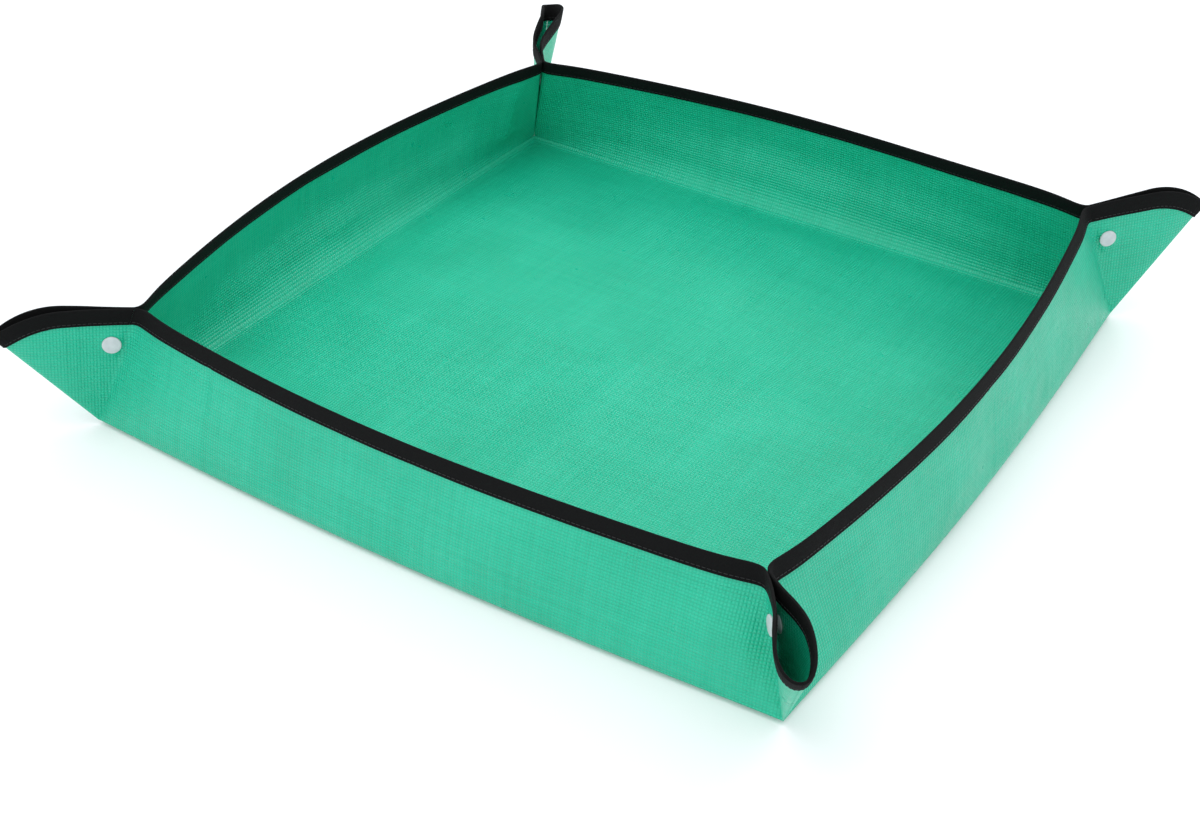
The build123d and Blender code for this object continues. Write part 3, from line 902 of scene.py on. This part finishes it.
def seam_piece(name, rim):
    """Stitches on both arms of the tape."""
    points, faces, places = [], [], []
    outer = SHEET_THICKNESS + TAPE_GAP + TAPE_THICKNESS
    inner = -TAPE_GAP - TAPE_THICKNESS
    for offset, side in ((outer, 1), (inner, -1)):
        line = rim.at(SEAM_INSET - TAPE_WIDTH, offset)
        normal = rim.foot_normals * side
        found, found_faces, found_places = stitch_line(line, normal)
        start = sum(len(part) for part in points)
        faces += [[start + corner for corner in face] for face in found_faces]
        points.append(found)
        places.append(found_places)
    return mesh_object(name, np.concatenate(points), faces, np.concatenate(places), THREAD,
                       sharp_angle=60)


# The snaps

LATHE_STEPS = 48
SEAT_GAP = 0.0001
MILLIMETRE = 0.001


def snap_matrix(end, offset):
    """Seat of the snap at a distance from the corner's middle plane."""
    beyond, rise = snap_place()
    angle = math.atan2(beyond, rise) + FLAT_TILT
    tilt_share = 1 - (1 - EAR_SPAN_SHARE[end.corner]) * angle / EAR_ANGLE
    tilt = PINCH_TILT + angle * tilt_share
    reach = math.hypot(beyond, rise)
    middle = end.apex + (end.radial * math.sin(tilt) + UP * math.cos(tilt)) * reach
    centre = settle(middle) + end.lateral * offset
    z_axis = Vector(end.lateral)
    x_axis = Vector(UP)
    y_axis = z_axis.cross(x_axis)
    matrix = Matrix((x_axis, y_axis, z_axis)).transposed().to_4x4()
    return Matrix.Translation(Vector(centre)) @ matrix


def in_metres(outline):
    return [(radius * MILLIMETRE, height * MILLIMETRE) for radius, height in outline]


def cap_piece(end):
    seat = SNAP_HALF_GAP + SHEET_THICKNESS + SEAT_GAP
    outline = in_metres([(0.01, -0.55), (1.15, -0.55), (1.2, -0.5), (1.2, 0.0), (5.8, 0.0), (6.1, 0.08),
                         (6.2, 0.25), (6.2, 0.75), (6.14, 0.95), (5.95, 1.12), (5.6, 1.26), (5.2, 1.33),
                         (4.6, 1.40), (3.4, 1.50), (2.0, 1.58), (0.9, 1.62), (0.01, 1.63)])
    return lathe(f"snap_cap_{end.name}_turned", snap_matrix(end, seat), outline, LATHE_STEPS, SNAP)


def socket_piece(end):
    outline = in_metres([(0.01, 1.78), (5.1, 1.78), (5.28, 1.7), (5.3, 1.55), (5.3, 1.2), (5.2, 1.05),
                         (4.2, 0.95), (3.5, 0.9), (3.3, 0.7), (3.25, 0.35), (3.1, 0.22), (2.4, 0.2),
                         (2.25, 0.28), (2.2, 0.45), (2.2, 1.45), (0.01, 1.5)])
    return lathe(f"snap_socket_{end.corner}_turned", snap_matrix(end, 0), outline[::-1], LATHE_STEPS,
                 SNAP)


def stud_piece(end):
    outline = in_metres([(0.01, -1.1), (1.6, -1.1), (1.95, -0.95), (2.05, -0.7), (1.95, -0.4), (1.9, 0.1),
                         (2.1, 0.3), (3.4, 0.35), (3.7, 0.5), (4.4, 0.9), (5.2, 1.0), (5.3, 1.2),
                         (5.3, 1.6), (5.2, 1.75), (5.0, 1.8), (0.01, 1.8)])
    return lathe(f"snap_stud_{end.corner}_turned", snap_matrix(end, 0), outline, LATHE_STEPS, SNAP)


def add_piece(piece, body, node):
    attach(piece, body)
    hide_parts(node)
    return piece


def flatten_wall(piece):
    """Gives the wall's piece a mesh of its own."""
    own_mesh(piece)


def flatten_ear(piece):
    """Gives the ear half's piece a mesh of its own."""
    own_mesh(piece)


base_piece()
for wall in WALLS:
    rim = wall_rim(wall, TAPE_STEPS)
    tape = add_piece(tape_piece(f"tape_wall_{wall}_woven", rim), f"wall_{wall}", f"tape_wall_{wall}")
    seam = add_piece(seam_piece(f"seam_wall_{wall}_stitches", rim), f"wall_{wall}", f"seam_wall_{wall}")
    for piece in (wall_piece(wall), tape, seam):
        flatten_wall(piece)
for end in ENDS:
    body = f"ear_{end.name}"
    rim = ear_rim_line(end, TAPE_EAR_STEPS)
    tape = add_piece(tape_piece(f"tape_ear_{end.name}_woven", rim), body, f"tape_ear_{end.name}")
    seam = add_piece(seam_piece(f"seam_ear_{end.name}_stitches", rim), body, f"seam_ear_{end.name}")
    for piece in (ear_piece(end), tape, seam):
        flatten_ear(piece)
    add_piece(cap_piece(end), body, f"snap_cap_{end.name}")
    if end.side > 0:
        add_piece(socket_piece(end), body, f"snap_socket_{end.corner}")
    else:
        add_piece(stud_piece(end), body, f"snap_stud_{end.corner}")


# Floor, light and camera

FLOOR_SIDE = 8.0
FLOOR_COLOUR = (0.86, 0.87, 0.88, 1)
FLOOR_GLOW = 0.10
FLOOR_DROP = 0.0001
WORLD_COLOUR = (0.95, 0.98, 1.0, 1)
WORLD_STRENGTH = 1.06
# Softboxes that face the tray: name, place, size and power in watts
SOFTBOXES = [
    ("key", (-0.3, -0.6, 1.9), (1.2, 1.2), 9),
    ("back", (0.4, 1.9, 1.3), (1.6, 0.5), 10),
    ("front", (0.5, -1.9, 0.6), (0.9, 0.5), 1),
]


def floor_piece():
    """Pale floor that keeps the shadow and reads near white where it is lit."""
    half = FLOOR_SIDE / 2
    mesh = bpy.data.meshes.new("floor")
    corners = [(-half, -half, 0), (half, -half, 0), (half, half, 0), (-half, half, 0)]
    mesh.from_pydata(corners, [], [(0, 1, 2, 3)])
    floor = bpy.data.objects.new("floor", mesh)
    floor.location.z = -FLOOR_DROP
    bpy.context.scene.collection.objects.link(floor)
    surface = Surface("floor")
    surface.shader.inputs["Base Color"].default_value = FLOOR_COLOUR
    surface.shader.inputs["Roughness"].default_value = 0.9
    surface.shader.inputs["Specular IOR Level"].default_value = 0.0
    rays = surface.add("ShaderNodeLightPath")
    seen = surface.sums("MAXIMUM", rays.outputs["Is Camera Ray"], rays.outputs["Is Glossy Ray"])
    surface.shader.inputs["Emission Color"].default_value = (1, 1, 1, 1)
    glow = surface.sums("MULTIPLY", seen, FLOOR_GLOW)
    surface.feed(surface.shader.inputs["Emission Strength"], glow)
    mesh.materials.append(surface.material)


def softbox(name, place, size, power):
    """A soft lamp that faces the middle of the tray."""
    light = bpy.data.lights.new(name, "AREA")
    light.shape = "RECTANGLE"
    light.size, light.size_y = size
    light.energy = power
    lamp = bpy.data.objects.new(name, light)
    lamp.location = place
    lamp.rotation_euler = (-Vector(place)).to_track_quat("-Z", "Y").to_euler()
    bpy.context.scene.collection.objects.link(lamp)


def camera():
    azimuth, elevation, roll = map(math.radians, (CAMERA_AZIMUTH, CAMERA_ELEVATION, CAMERA_ROLL))
    level_share = math.cos(elevation)
    back = Vector((math.sin(azimuth) * level_share, -math.cos(azimuth) * level_share, math.sin(elevation)))
    level = Vector(UP).cross(back).normalized()
    upward = back.cross(level)
    right = level * math.cos(roll) + upward * math.sin(roll)
    top = upward * math.cos(roll) - level * math.sin(roll)
    data = bpy.data.cameras.new("photo_camera")
    data.sensor_width = SENSOR_WIDTH
    data.lens = FOCAL_PIXELS / PHOTO_WIDTH * data.sensor_width
    placed = bpy.data.objects.new("photo_camera", data)
    turned = Matrix((right, top, back)).transposed().to_4x4()
    placed.matrix_world = Matrix.Translation(CAMERA_PLACE) @ turned
    bpy.context.scene.collection.objects.link(placed)
    bpy.context.scene.camera = placed


def world_light():
    world = bpy.data.worlds.new("studio")
    world.use_nodes = True
    background = world.node_tree.nodes["Background"]
    background.inputs["Color"].default_value = WORLD_COLOUR
    background.inputs["Strength"].default_value = WORLD_STRENGTH
    bpy.context.scene.world = world


floor_piece()
for name, place, size, power in SOFTBOXES:
    softbox(name, place, size, power)
world_light()
camera()
bpy.context.scene.view_settings.view_transform = "Standard"
